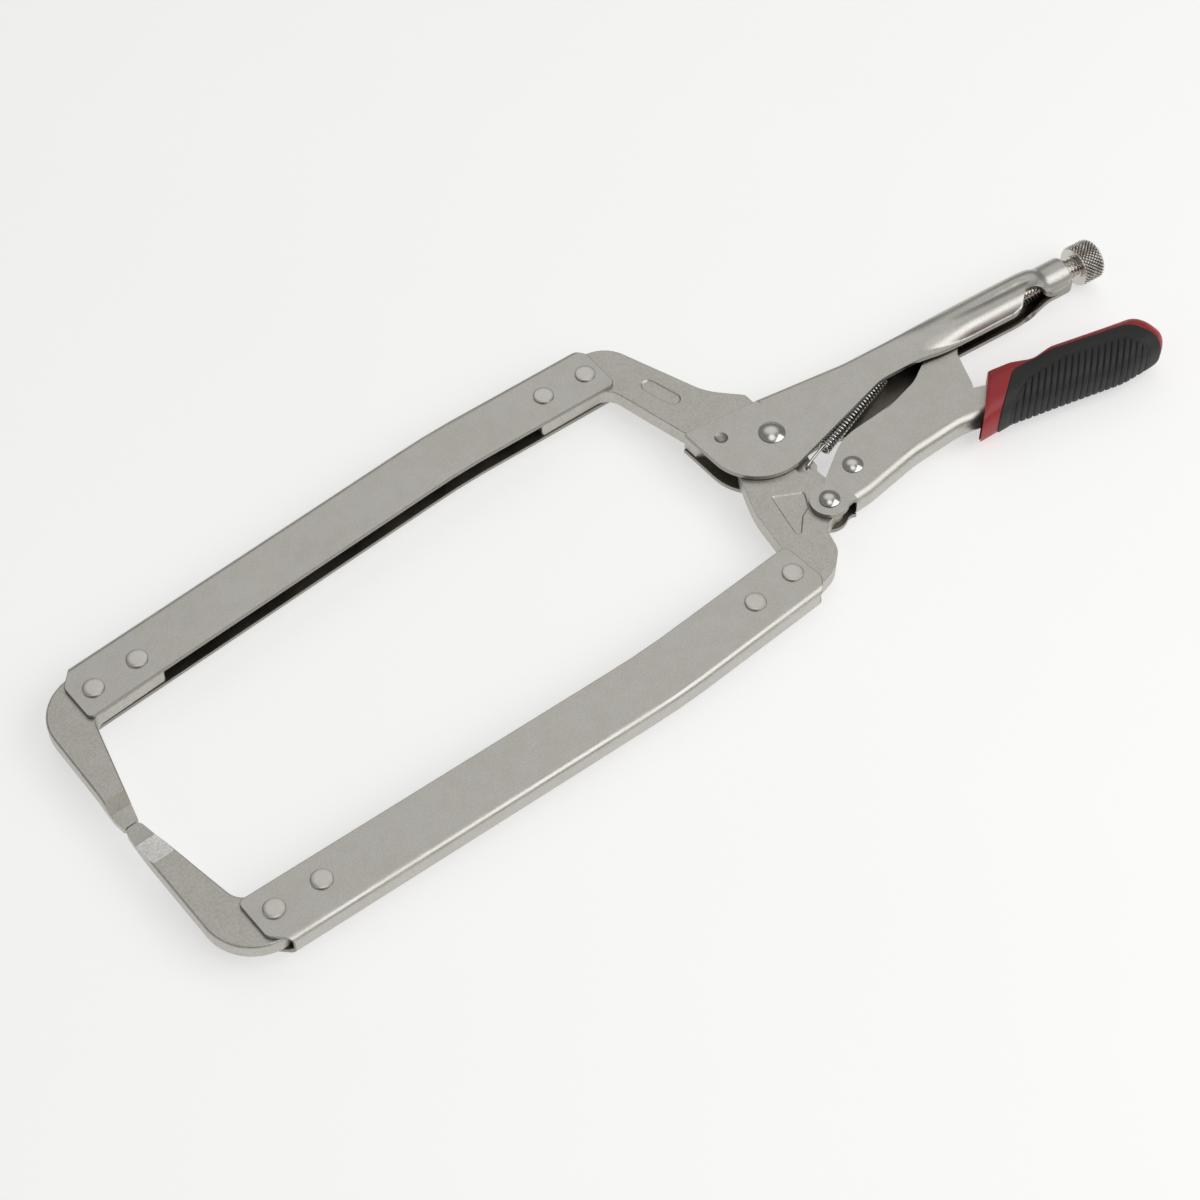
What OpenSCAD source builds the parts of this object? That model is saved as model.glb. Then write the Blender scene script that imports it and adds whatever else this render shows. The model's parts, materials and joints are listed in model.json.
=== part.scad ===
// Locking C clamp: two long riveted arms, an over-centre toggle and an adjusting screw.
// The clamp lies flat: +X runs from the noses to the handles, +Z is its thickness, and the
// drawings below are made about the main pivot before the whole clamp is placed.

/* [Reach] */
// Distance from the main pivot back to the clamping noses
reach = 285; // [245:1:340]
// Height of the line about which the two arms mirror each other, above the main pivot
mirror_line = 6.85; // [6.5:0.05:7.2]
// Height of the line on which the noses meet, above the main pivot
nose_line = 9.6; // [8:0.1:10]
// Gap that the closed noses leave
nose_gap = 0.3; // [0.1:0.1:1]
// Distance by which the lower side sits further forward than the upper side
side_shift = 3; // [0:0.5:3]

/* [Arms] */
// Width of an arm channel
arm_w = 24; // [23:0.5:25]
// Sheet thickness of an arm channel
arm_sheet = 1.6; // [1.2:0.1:2.2]
// Slope of the long front stretch of an arm
arm_rise = 0.04; // [0.03:0.005:0.045]

/* [Forgings] */
// Thickness of the forged jaws and noses
forging_t = 6.4; // [5.6:0.1:6.6]
// Thickness of a nose at its flattened pad
pad_t = 4.6; // [3.6:0.1:5.4]
// Radius of the round eye of the moving jaw at the main pivot
hub_r = 14; // [12:0.5:14.5]

/* [Handles] */
// Sheet thickness of both handles
handle_sheet = 1.9; // [1.5:0.1:2.2]
// Clear width between the two walls of a handle
handle_gap = 7; // [6.8:0.1:7.4]
// Outer radius of the barrel formed round the screw
barrel_r = 8.5; // [8.2:0.1:9]
// Width of the slot along the underside of the barrel
barrel_slot = 5.2; // [5:0.1:5.6]
// Outer radius of the threaded neck
neck_r = 7; // [6.6:0.1:7.4]

/* [Toggle] */
// Thickness of the toggle link
link_t = 4.4; // [3:0.1:4.6]
// Axial room between the link and the tip of the screw
tip_room = 4; // [3.8:0.1:6]

/* [Adjusting screw] */
// Outer diameter of the screw
screw_d = 9.6; // [8:0.1:9.8]
// Diameter of the knurled knob
knob_d = 16.8; // [15:0.1:20]
// Width of the knurled knob
knob_w = 9.6; // [8:0.1:14]
// Length of screw that shows between neck and knob
knob_gap = 6.4; // [2:0.1:12]

/* [Rivets] */
// Head diameter of an arm rivet
arm_head_d = 8; // [7:0.1:9]
// Head height of an arm rivet
arm_head_h = 0.9; // [0.5:0.1:1.2]
// Shank diameter of an arm rivet
arm_shank_d = 5.6; // [4:0.1:6]
// Head diameter of the main pivot rivet
pivot_head_d = 10.4; // [9:0.1:12]
// Shank diameter of the main pivot rivet
pivot_shank_d = 7; // [5:0.1:8]
// Head diameter of the two toggle rivets
toggle_head_d = 8; // [7:0.1:9]
// Shank diameter of the two toggle rivets
toggle_shank_d = 5; // [4:0.1:6]
// Radial clearance of a turning joint
running = 0.05; // [0.02:0.01:0.1]

/* [Grip] */
// Thickness of the overmoulded grip
grip_t = 21; // [18:0.5:24]
// Thickness of the ribbed outer layer of the grip
cover_t = 1.2; // [0.8:0.1:2]

/* [Hidden] */
$fn = 64;
STEEL = "#a9a79f";
BRIGHT = "#c6c4bc";
SPRING = "#33312e";
RED = "#93302f";
BLACK = "#2b2a29";
EPS = 0.01;
BIG = 200;

handle_t = handle_gap + 2 * handle_sheet;
arm_t = forging_t + 2 * arm_sheet;

// Pivots of the toggle, with the handles closed: jaw to handle, and handle to link
handle_pivot = [-5, -38];
link_pivot = [13, -31.2];
link_tip = [95.5, -2.5];

// The screw's axis, and the mouth of the neck on it
screw_tilt = -5.7;
neck_mouth = [148.5, -7.8];
neck_len = 19;
screw_dir = [cos(screw_tilt), sin(screw_tilt)];
tip_depth = (neck_mouth - link_tip) * screw_dir - tip_room;
knob_bore_r = 3.5;
knob_bore_depth = 7;

// Upper arm: two straight stretches that meet at a gentle bend
bend = [-100.8, 84.7];
rear_fall = -0.045;
nose_x = -reach;
arm_front = nose_x + 12.8;
arm_rear = -29.2;
rivet_x = [nose_x + 21, nose_x + 40, -55, -35.6];
rivet_inset = [14.1, 14.0, 12.6, 13.2];
shoulder = 0.2;
nose_inset = 1.5;

// Swaged tips of the two noses: the flat pad, and the ramp up to full thickness
upper_pad_l = 7.5;
upper_ramp_l = 5;
lower_pad_l = 8;
lower_ramp_l = 10.4;

// Where the tensioned spring hooks on
spring_eye = [1.2, -18.8];
spring_anchor = [63, -0.8];
spring_r = 2.7;
spring_wire = 1.1;
ear_t = 2.4;

// Box of the closed clamp, which sets its place
low_x = nose_x - 2.5 - side_shift;
high_x = neck_mouth.x + (knob_gap + knob_w) * screw_dir.x - knob_d / 2 * screw_dir.y;
low_y = 2 * mirror_line - arm_edge(bend.x) - 0.2 * handle_sheet;
high_y = arm_edge(bend.x);
placing = [round(-5 * (low_x + high_x)) / 10, round(-5 * (low_y + high_y)) / 10, grip_t / 2];

// Outer edge of the upper arm at a place along its length
function arm_edge(x) = bend.y + (x - bend.x) * (x < bend.x ? arm_rise : rear_fall);
function rivet_place(i) = [rivet_x[i], arm_edge(rivet_x[i]) - rivet_inset[i]];

// A closed outline from corners [x, y, radius], each with a tangent arc
function unit(v) = v / norm(v);
function corner_arc(before, at, after, r) =
    let (u = unit(before - at), v = unit(after - at), half = acos(u * v) / 2)
    let (centre = at + unit(u + v) * r / sin(half))
    let (p = at + u * r / tan(half) - centre, q = at + v * r / tan(half) - centre)
    let (from = atan2(p.y, p.x), turn = (atan2(q.y, q.x) - from + 540) % 360 - 180)
    let (steps = max(2, ceil(abs(turn) / 8)))
    [for (i = [0:steps]) centre + r * [cos(from + turn * i / steps), sin(from + turn * i / steps)]];
function flat(c) = [c.x, c.y];
function rounded(corners) =
    let (n = len(corners))
    [for (i = [0:n - 1])
        let (c = corners[i], before = flat(corners[(i + n - 1) % n]), after = flat(corners[(i + 1) % n]))
        each (c.z > 0 ? corner_arc(before, flat(c), after, c.z) : [flat(c)])];

// A plate of the given outline, centred on the clamp's middle plane
module plate(corners, thickness) {
    linear_extrude(thickness, center = true) polygon(rounded(corners));
}

// A plate that starts at a given height
module wall(corners, low, thickness) {
    translate([0, 0, low]) linear_extrude(thickness) polygon(rounded(corners));
}

// The same plate as two walls, with a clear gap between them
module walls(corners, gap, thickness) {
    for (side = [0, 1]) mirror([0, 0, side]) wall(corners, gap / 2, thickness);
}

module hole(place, r) {
    translate(place) cylinder(h = BIG, r = r, center = true);
}

// The lower side is the upper side mirrored about the mirror line
module lower_side() {
    translate([-side_shift, 2 * mirror_line, 0]) mirror([0, 1, 0]) children();
}

// Along the screw: +Z points out of the neck, and +X towards the moving handle
module along_screw() {
    translate([neck_mouth.x, neck_mouth.y, 0]) rotate([0, 0, screw_tilt]) rotate([-90, 0, -90]) children();
}

module round_head(d, h) {
    // A low domed head: a spherical cap on a short land
    land = 0.3;
    dome = h - land;
    ball = (d * d / 4 + dome * dome) / (2 * dome);
    cylinder(h = land, d = d);
    translate([0, 0, land]) intersection() {
        translate([0, 0, dome - ball]) sphere(r = ball);
        cylinder(h = h, d = d);
    }
}

module domed_rivet(place, head_d, head_h, shank_d) {
    translate(place) {
        cylinder(h = handle_t + EPS, d = shank_d, center = true);
        for (side = [0, 1]) mirror([0, 0, side]) translate([0, 0, handle_t / 2]) round_head(head_d, head_h);
    }
}

module arm_rivet(i) {
    color(BRIGHT) translate(rivet_place(i)) {
        cylinder(h = arm_t + EPS, d = arm_shank_d, center = true);
        for (side = [0, 1]) mirror([0, 0, side]) translate([0, 0, arm_t / 2])
            cylinder(h = arm_head_h, d = arm_head_d);
    }
}

module rivet_holes(which) {
    for (i = which) hole(rivet_place(i), arm_shank_d / 2);
}

// Folded arm: a web along the outer edge and two walls, open towards the throat
module arm() {
    notch = 6.5;
    outline = [
        [arm_front, arm_edge(arm_front) - arm_w, 2.5],
        [bend.x, bend.y - arm_w, 320],
        [arm_rear, arm_edge(arm_rear) - arm_w, 3],
        [arm_rear + 1, arm_edge(arm_rear) - 5, 1],
        [arm_rear - 4, arm_edge(arm_rear - 4), 1],
        [bend.x, bend.y, 320],
        [arm_front + notch, arm_edge(arm_front + notch), 1],
        [arm_front + 3.4, arm_edge(arm_front) - 3.6, 2],
        [arm_front, arm_edge(arm_front) - 6.8, 1]
    ];
    web = [
        [arm_front + notch, arm_edge(arm_front + notch) - arm_sheet, 0],
        [bend.x, bend.y - arm_sheet, 320],
        [arm_rear - 4, arm_edge(arm_rear - 4) - arm_sheet, 0],
        [arm_rear - 4, arm_edge(arm_rear - 4), 0],
        [bend.x, bend.y, 320],
        [arm_front + notch, arm_edge(arm_front + notch), 0]
    ];
    color(STEEL) difference() {
        union() {
            walls(outline, forging_t, arm_sheet);
            plate(web, arm_t);
        }
        rivet_holes([0:3]);
    }
}

// Forged nose: a leg riveted in the front of the arm, and a tapering finger with a swaged tip
module nose(tip, tip_shift, tip_round, pad_l, ramp_l) {
    leg_end = nose_x + 45.5;
    leg_top = arm_sheet + nose_inset;
    pad_end = tip + pad_l;
    ramp_end = pad_end + ramp_l;
    outline = [
        [leg_end, arm_edge(leg_end) - leg_top, 1],
        [nose_x - 1.2, arm_edge(nose_x) - leg_top - 0.2, 20],
        [nose_x - 3 + tip_shift, tip, tip_round],
        [nose_x + 3.2 + tip_shift, tip, tip_round],
        [nose_x + 11.6, tip + 33, 40],
        [nose_x + 14.4, arm_edge(nose_x) - arm_w + 1.8, 4],
        [leg_end, arm_edge(leg_end) - arm_w + 1.5, 1.5]
    ];
    thin = (forging_t - pad_t) / 2;
    color(STEEL) difference() {
        plate(outline, forging_t);
        rivet_holes([0, 1]);
        for (side = [0, 1]) mirror([0, 0, side])
            translate([nose_x - 20, 0, 0]) rotate([90, 0, 90]) linear_extrude(40)
                polygon([
                    [tip - 5, forging_t / 2 - thin], [pad_end, forging_t / 2 - thin],
                    [ramp_end, forging_t / 2], [ramp_end, forging_t], [tip - 5, forging_t]
                ]);
    }
}

// Forged fixed jaw: a leg in the rear of the upper arm, and a tongue gripped by the fixed handle
module fixed_jaw() {
    leg_end = -64;
    leg_top = arm_sheet + shoulder;
    hub_clear = hub_r + 1.5;
    body = [
        [leg_end, arm_edge(leg_end) - leg_top, 1],
        [-36, arm_edge(-36) - leg_top, 4],
        [-19, 75.6, 14],
        [-4.2, 33.4, 25],
        [6.4, 22.3, 1.2],
        [5, 16.8, 1],
        [-24.3, 22.6, 0.5],
        [-32.4, arm_edge(-32) - arm_w + 1.2, 7],
        [leg_end, arm_edge(leg_end) - arm_w + 1.5, 1.5]
    ];
    tongue = [
        [-24.3, 22.2, 0.5],
        [-4.3, 19.2, 0],
        [5.6, 16.4, 0.5],
        [5.6, 12, 0.5],
        [-12, 4, 1],
        [-20.5, 9, 2],
        [-20.5, 18.6, 2],
        [-24.3, 18.9, 0.5]
    ];
    color(STEEL) difference() {
        union() {
            plate(body, forging_t);
            plate(tongue, handle_gap);
        }
        hole([0, 0], hub_clear);
        rivet_holes([2, 3]);
        stamp_pad();
    }
}

// Shallow oval stamp recess, left plain
module stamp_pad() {
    from = [-19.4, 49.4];
    to = [-16.6, 38.4];
    depth = 0.4;
    translate([0, 0, forging_t / 2 - depth]) linear_extrude(1) {
        for (end = [from, to]) translate(end) circle(r = 3);
        polygon([from - [3, 0.8], from + [3, 0.8], to + [3, 0.8], to - [3, 0.8]]);
    }
}

// Fixed handle: folded sheet, closed along its top and rolled into a barrel and a neck at the rear
module fixed_handle() {
    nose_end = [
        [-25.8, 22.2, 0.6],
        [-26, -17.2, 21],
        [-2, -17.6, 9]
    ];
    back_end = [
        [86, -12.6, 5],
        [86, 5.9, 0],
        [45, 10.0, 0],
        [7, 17.25, 0]
    ];
    near_edge = [
        [50.5, -6.6, 22],
        [71, -8.4, 22]
    ];
    far_edge = [
        [8, -11, 3],
        [17, -11.2, 3],
        [26, -14.4, 5],
        [62, -12.6, 12]
    ];
    web = [
        [7, 17.25 - handle_sheet, 0],
        [45, 10.0 - handle_sheet, 0],
        [86, 5.9 - handle_sheet, 0],
        [86, 5.9, 0],
        [45, 10.0, 0],
        [7, 17.25, 0]
    ];
    barrel_start = -70;
    lip_w = 1.9;
    bore = barrel_r - handle_sheet;
    dimple = [-16.5, 10.3];
    color(STEEL) difference() {
        union() {
            wall(concat(nose_end, near_edge, back_end), handle_gap / 2, handle_sheet);
            wall(concat(nose_end, far_edge, back_end), -handle_gap / 2 - handle_sheet, handle_sheet);
            plate(web, handle_t);
            spring_tab();
            along_screw() {
                difference() {
                    translate([0, 0, barrel_start]) cylinder(h = -barrel_start - neck_len, r = barrel_r);
                    translate([0, 0, barrel_start - EPS]) cylinder(h = -barrel_start - neck_len + EPS, r = bore);
                    translate([0, -barrel_slot / 2, barrel_start - 1]) cube([BIG, barrel_slot, -barrel_start - neck_len + 1]);
                }
                for (side = [0, 1]) mirror([0, side, 0])
                    translate([bore + 0.4, barrel_slot / 2, barrel_start]) cube([3, lip_w, -barrel_start - neck_len]);
                translate([0, 0, -neck_len]) cylinder(h = 6, r1 = barrel_r, r2 = neck_r);
                translate([0, 0, -neck_len]) cylinder(h = neck_len, r = neck_r);
            }
        }
        along_screw() cylinder(h = 2 * neck_len + 2, r = screw_d / 2 + running, center = true);
        hole([0, 0], pivot_shank_d / 2);
        for (side = [0, 1]) mirror([0, 0, side]) translate([dimple.x, dimple.y, handle_t / 2 - 1.4])
            cylinder(h = 1.4 + EPS, r1 = 0.2, r2 = 2.9);
    }
}

// Small tab under the web of the fixed handle, which holds the rear hook of the spring
module spring_tab() {
    tab_w = 4;
    below = 2.4;
    web_inside = 6.8;
    difference() {
        translate([spring_anchor.x - tab_w / 2, spring_anchor.y - below, -ear_t / 2])
            cube([tab_w, web_inside - spring_anchor.y + below, ear_t]);
        hole(spring_anchor, 1.4);
    }
}

// Forged moving jaw: the eye on the main pivot, the toggle lug, the spring ear and the arm's leg
module moving_jaw() {
    leg_end = -64;
    leg_top = arm_sheet + shoulder;
    lug_r = 5.8;
    ear_r = 4;
    body = [
        [-12, 6.8, 3],
        [-21.8, -6, 6],
        [-29.8, -24, 55],
        [-33.4, 2 * mirror_line - arm_edge(-31) + arm_w - 1.2, 3],
        [leg_end - side_shift, 2 * mirror_line - arm_edge(leg_end) + arm_w - 1.5, 1.5],
        [leg_end - side_shift, 2 * mirror_line - arm_edge(leg_end) + leg_top, 1],
        [-38, 2 * mirror_line - arm_edge(-35.5) + leg_top, 2],
        [-24.5, -62.8, 14],
        [-17.2, -56.4, 9],
        [-13.9, -45.8, 5],
        [-7, -44, 0],
        [handle_pivot.x, handle_pivot.y, 0],
        [2.5, -36, 0],
        [1.5, -24, 4],
        [6, -12.4, 3]
    ];
    color(STEEL) difference() {
        union() {
            plate(body, forging_t);
            cylinder(h = forging_t, r = hub_r, center = true);
            translate(handle_pivot) cylinder(h = forging_t, r = lug_r, center = true);
            translate(spring_eye) cylinder(h = ear_t, r = ear_r, center = true);
        }
        for (side = [0, 1]) mirror([0, 0, side]) translate([spring_eye.x, spring_eye.y, ear_t / 2])
            cylinder(h = forging_t, r = ear_r + 1);
        hole(spring_eye, 1.6);
        hole([0, 0], pivot_shank_d / 2 + running);
        hole(handle_pivot, toggle_shank_d / 2 + running);
        lower_side() rivet_holes([2, 3]);
        jaw_recess();
    }
}

// Shallow triangular recess on the face of the moving jaw
module jaw_recess() {
    depth = 0.4;
    translate([0, 0, forging_t / 2 - depth]) linear_extrude(1)
        polygon(rounded([[-20.6, -23, 0.8], [-9, -28.6, 0.8], [-15, -38, 3], [-25.4, -43, 2]]));
}

// Moving handle: folded sheet, open towards the fixed handle, with a tail inside the grip
module moving_handle() {
    eye_r = 7.7;
    tail_gap = handle_gap;
    wall = [
        [-4.5, -30.6, 0],
        [18.5, -18.9, 30],
        [43, -18.6, 18],
        [82, -35.4, 12],
        [138, -48.4, 4],
        [135, -59.6, 4],
        [84, -48.4, 20],
        [60.5, -42.6, 30],
        [36, -42.3, 60],
        [11, -45, 8],
        [2.4, -44.8, 1.5],
        [-1, -42, 0]
    ];
    web = [
        [135, -59.6, 0],
        [84, -48.4, 20],
        [60.5, -42.6, 30],
        [36, -42.3, 60],
        [11, -45, 8],
        [3.2, -44.8, 0],
        [3.2, -44.8 + handle_sheet, 0],
        [11, -45 + handle_sheet, 8],
        [36, -42.3 + handle_sheet, 60],
        [60.5, -42.6 + handle_sheet, 30],
        [84, -48.4 + handle_sheet, 20],
        [135.5, -59.6 + handle_sheet, 0]
    ];
    color(STEEL) difference() {
        union() {
            walls(wall, tail_gap, handle_sheet);
            plate(web, handle_t);
            for (side = [0, 1]) mirror([0, 0, side])
                translate([handle_pivot.x, handle_pivot.y, handle_gap / 2]) cylinder(h = handle_sheet, r = eye_r);
        }
        hole(handle_pivot, toggle_shank_d / 2);
        hole(link_pivot, toggle_shank_d / 2);
    }
}

// Toggle link: a flat plate from the moving handle to the tip of the screw
module toggle_link() {
    nose_r = 5;
    nose_centre = link_tip - nose_r * screw_dir;
    outline = [
        [link_pivot.x, link_pivot.y, 0],
        [link_pivot.x - 3, link_pivot.y + 6.6, 0],
        [44, -17.4, 20],
        [62, -13.6, 20],
        [78, -5, 10],
        [nose_centre.x - 0.4, nose_centre.y + nose_r, 0],
        [nose_centre.x, nose_centre.y, 0],
        [nose_centre.x + 1.8, nose_centre.y - nose_r + 0.4, 0],
        [84.6, -14, 6],
        [78, -30, 12],
        [70, -37, 6],
        [40, -38.6, 20],
        [link_pivot.x + 2, link_pivot.y - 6.9, 0]
    ];
    color(STEEL) difference() {
        union() {
            plate(outline, link_t);
            translate(link_pivot) cylinder(h = link_t, r = 7.2, center = true);
            translate(nose_centre) cylinder(h = link_t, r = nose_r, center = true);
        }
        hole(link_pivot, toggle_shank_d / 2 + running);
    }
}

// Adjusting screw: the threaded rod, with a spigot on which the knob turns
module adjusting_screw() {
    color(BRIGHT) along_screw() {
        translate([0, 0, -tip_depth + 1]) cylinder(h = tip_depth - 1 + knob_gap - 0.3, d = screw_d);
        translate([0, 0, -tip_depth]) cylinder(h = 1, d1 = screw_d - 2, d2 = screw_d);
        cylinder(h = knob_gap + knob_bore_depth - 0.3, r = knob_bore_r);
    }
}

module knurled_knob() {
    chamfer = 0.8;
    color(BRIGHT) along_screw() translate([0, 0, knob_gap]) difference() {
        union() {
            cylinder(h = chamfer, d1 = knob_d - 2 * chamfer, d2 = knob_d);
            translate([0, 0, chamfer]) cylinder(h = knob_w - 2 * chamfer, d = knob_d);
            translate([0, 0, knob_w - chamfer]) cylinder(h = chamfer, d1 = knob_d, d2 = knob_d - 2 * chamfer);
        }
        translate([0, 0, -EPS]) cylinder(h = knob_bore_depth + EPS, r = knob_bore_r + running);
    }
}

// Return spring: the outer shape of the coil, with a straight hook at each end
module return_spring() {
    span = spring_anchor - spring_eye;
    gap_front = 13;
    gap_rear = 9;
    hook_z = ear_t / 2 + spring_wire / 2 + 0.3;
    coil = norm(span) - gap_front - gap_rear;
    end_cap = 1;
    root = 0.6;
    overhang = 0.8;
    hook_d = spring_wire - 0.1;
    color(SPRING) {
        for (place = [spring_eye, spring_anchor]) translate([place.x, place.y, 0])
            cylinder(h = 2 * hook_z, d = hook_d, center = true);
        translate([spring_eye.x, spring_eye.y, 0]) rotate([0, 0, atan2(span.y, span.x)]) {
            translate([gap_front, 0, 0]) rotate([0, 90, 0]) difference() {
                cylinder(h = coil, r = spring_r);
                translate([0, 0, end_cap]) cylinder(h = coil - 2 * end_cap, r = spring_r - spring_wire);
            }
            translate([-overhang, 0, hook_z]) rotate([0, 90, 0])
                cylinder(h = gap_front + root + overhang, d = spring_wire);
            translate([gap_front + coil - root, 0, hook_z]) rotate([0, 90, 0])
                cylinder(h = gap_rear + root + overhang, d = spring_wire);
        }
    }
}

// Outline of the grip, and the part of it that the ribbed layer covers
grip_outline = [
    [86.4, -28.4, 1.5], [96, -30.6, 10], [104, -35, 8], [113.5, -34.5, 10], [150, -44.7, 8],
    [154.2, -64.3, 7], [129, -63, 30], [81, -50.2, 30], [63.8, -49.4, 1.5]
];
cover_outline = [
    [90.5, -37.6, 6], [110, -39.2, 8], [142, -48.2, 7], [146, -60, 5],
    [146.5, -70, 0], [68, -70, 0], [69.5, -52, 2]
];

module grip_body(inset) {
    linear_extrude(grip_t - 2 * inset, center = true) intersection() {
        polygon(rounded(grip_outline));
        translate([0, inset]) polygon(rounded(grip_outline));
    }
}

module cover_zone(thickness) {
    linear_extrude(thickness, center = true) intersection() {
        polygon(rounded(grip_outline));
        polygon(rounded(cover_outline));
    }
}

// Solid of the moving handle's tail, which the grip is moulded round
module tail_space() {
    plate([
        [60, -26, 0], [82, -35.4, 12], [138, -48.4, 4], [135, -59.6, 4], [84, -48.4, 20],
        [60.5, -42.6, 0]
    ], handle_t);
}

module grip_core() {
    color(RED) difference() {
        grip_body(cover_t);
        tail_space();
    }
}

module grip_cover() {
    color(BLACK) difference() {
        cover_zone(grip_t);
        grip_body(cover_t);
    }
}

module placed() {
    translate(placing) children();
}

placed() fixed_handle();
placed() fixed_jaw();
placed() arm();  // upper_arm
placed() nose(nose_line + nose_gap / 2, 0, 1, upper_pad_l, upper_ramp_l);  // upper_nose
placed() color(BRIGHT) domed_rivet([0, 0], pivot_head_d, 1.9, pivot_shank_d);  // main_pivot_rivet
placed() arm_rivet(0);  // upper_rivet_1
placed() arm_rivet(1);  // upper_rivet_2
placed() arm_rivet(2);  // upper_rivet_3
placed() arm_rivet(3);  // upper_rivet_4
placed() moving_jaw();
placed() lower_side() arm();  // lower_arm
placed() lower_side()  // lower_nose
        nose(2 * mirror_line - nose_line + nose_gap / 2, side_shift, 2, lower_pad_l, lower_ramp_l);
placed() lower_side() arm_rivet(0);  // lower_rivet_1
placed() lower_side() arm_rivet(1);  // lower_rivet_2
placed() lower_side() arm_rivet(2);  // lower_rivet_3
placed() lower_side() arm_rivet(3);  // lower_rivet_4
placed() moving_handle();
placed() color(BRIGHT) domed_rivet(handle_pivot, toggle_head_d, 1.6, toggle_shank_d);  // handle_rivet
placed() color(BRIGHT) domed_rivet(link_pivot, toggle_head_d, 1.6, toggle_shank_d);  // link_rivet
placed() grip_core();
placed() grip_cover();
placed() toggle_link();
placed() adjusting_screw();
placed() knurled_knob();
placed() return_spring();
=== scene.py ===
import json
import math

import bmesh
import bpy
import numpy as np
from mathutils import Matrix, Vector


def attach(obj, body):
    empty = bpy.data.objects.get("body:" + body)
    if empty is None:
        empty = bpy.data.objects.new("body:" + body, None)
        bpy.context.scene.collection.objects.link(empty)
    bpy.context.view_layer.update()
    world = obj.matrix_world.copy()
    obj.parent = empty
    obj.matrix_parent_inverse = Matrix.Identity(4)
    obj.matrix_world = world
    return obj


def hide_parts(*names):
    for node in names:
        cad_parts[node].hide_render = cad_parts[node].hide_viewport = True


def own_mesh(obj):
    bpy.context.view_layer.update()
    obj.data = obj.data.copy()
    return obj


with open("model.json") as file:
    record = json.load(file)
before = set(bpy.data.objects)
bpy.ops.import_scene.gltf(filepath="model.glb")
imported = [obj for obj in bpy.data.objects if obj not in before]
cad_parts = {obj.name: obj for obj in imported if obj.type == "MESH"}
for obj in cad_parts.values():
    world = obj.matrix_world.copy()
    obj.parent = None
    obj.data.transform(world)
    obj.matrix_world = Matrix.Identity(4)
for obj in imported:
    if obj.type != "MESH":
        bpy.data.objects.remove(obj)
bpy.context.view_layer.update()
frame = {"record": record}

# Everything below is in millimetres about the main pivot, in the CAD's frame.
MM = 0.001
JOINTS = {j["name"]: j for j in frame["record"]["behaviour"]["joints"]}
ORIGIN = np.array(JOINTS["jaw_pivot"]["pos_m"])


def in_mm(point):
    return (np.array(point) - ORIGIN) / MM


HANDLE_PIN = in_mm(JOINTS["handle_pivot"]["pos_m"])
LINK_PIN = in_mm(JOINTS["link_pivot"]["pos_m"])
MOUTH = in_mm(JOINTS["knob_turn"]["pos_m"])
SCREW = np.array(JOINTS["knob_turn"]["axis"])
SCREW_SIDE = np.array([-SCREW[1], SCREW[0], 0.0])
UP = np.array([0.0, 0.0, 1.0])

# The noses, the line that mirrors the arms, how far the lower side sits forward, the closed noses' line
NOSE_X, MIRROR_LINE, SIDE_SHIFT, CONTACT = -285.0, 6.85, 3.0, 9.6
# Widths, sheet thicknesses and half thicknesses
ARM_W, ARM_SHEET, ARM_HALF = 24.0, 1.6, 4.8
FORGED, PAD_HALF = 3.2, 1.6
LEG_END, LEG_TOP = -64.0, ARM_SHEET + 0.3
SHEET, HALF_GAP, HANDLE_HALF = 1.9, 3.5, 5.4
SPRING_EYE = np.array([1.2, -18.8, 0.0])
SPRING_ANCHOR = np.array([63.0, -0.8, 0.0])
SCREW_TIP = np.array([95.5, -2.5])
DIMPLE = np.array([-16.5, 10.3, 0.0])


# ---- plane outlines
def unit(v):
    return v / np.linalg.norm(v)


def heading(a):
    return np.array([math.cos(a), math.sin(a)])


def corner_arc(before, at, after, r, step):
    u, v = unit(before - at), unit(after - at)
    half = math.acos(float(np.clip(u @ v, -1, 1))) / 2
    centre = at + unit(u + v) * r / math.sin(half)
    p, q = at + u * r / math.tan(half) - centre, at + v * r / math.tan(half) - centre
    start = math.atan2(p[1], p[0])
    turn = (math.atan2(q[1], q[0]) - start + 3 * math.pi) % (2 * math.pi) - math.pi
    count = max(2, math.ceil(abs(math.degrees(turn)) / step))
    return [centre + r * heading(start + turn * i / count) for i in range(count + 1)]


def rounded(corners, step=7.0):
    """A closed outline from corners (x, y, radius)."""
    out, n = [], len(corners)
    for i, (x, y, r) in enumerate(corners):
        at = np.array([x, y], float)
        if r <= 0:
            out.append(at)
            continue
        before = np.array(corners[i - 1][:2], float)
        after = np.array(corners[(i + 1) % n][:2], float)
        out += corner_arc(before, at, after, r, step)
    return np.array(out)


def chain(corners, step=6.0):
    """An open line from corners (x, y, radius); the two ends are plain."""
    pts = [np.array(c[:2], float) for c in corners]
    out = [pts[0]]
    for i in range(1, len(pts) - 1):
        r = corners[i][2]
        out += corner_arc(pts[i - 1], pts[i], pts[i + 1], r, step) if r > 0 else [pts[i]]
    out.append(pts[-1])
    return np.array(out)


def travelled(line):
    """The length of a line from its start to each of its points."""
    seg = np.linalg.norm(np.diff(line, axis=0), axis=1)
    return np.concatenate([[0], np.cumsum(seg)])


def along(line, places):
    """Points on a line: a number of evenly spaced ones, or one at each given share of its length."""
    s = travelled(line)
    t = np.linspace(0, s[-1], places) if np.isscalar(places) else np.asarray(places) * s[-1]
    return np.column_stack([np.interp(t, s, line[:, k]) for k in range(line.shape[1])])


def resample_like(reference, target):
    """Points on target at the same shares of its length as the points on reference."""
    s = travelled(reference)
    return along(target, s / s[-1])


def stations(parts, gap):
    """The places along x at which a section is drawn, with those closer than the gap left out."""
    x = np.unique(np.round(np.concatenate(parts), 3))
    return x[np.concatenate([[True], np.diff(x) > gap])]


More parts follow.
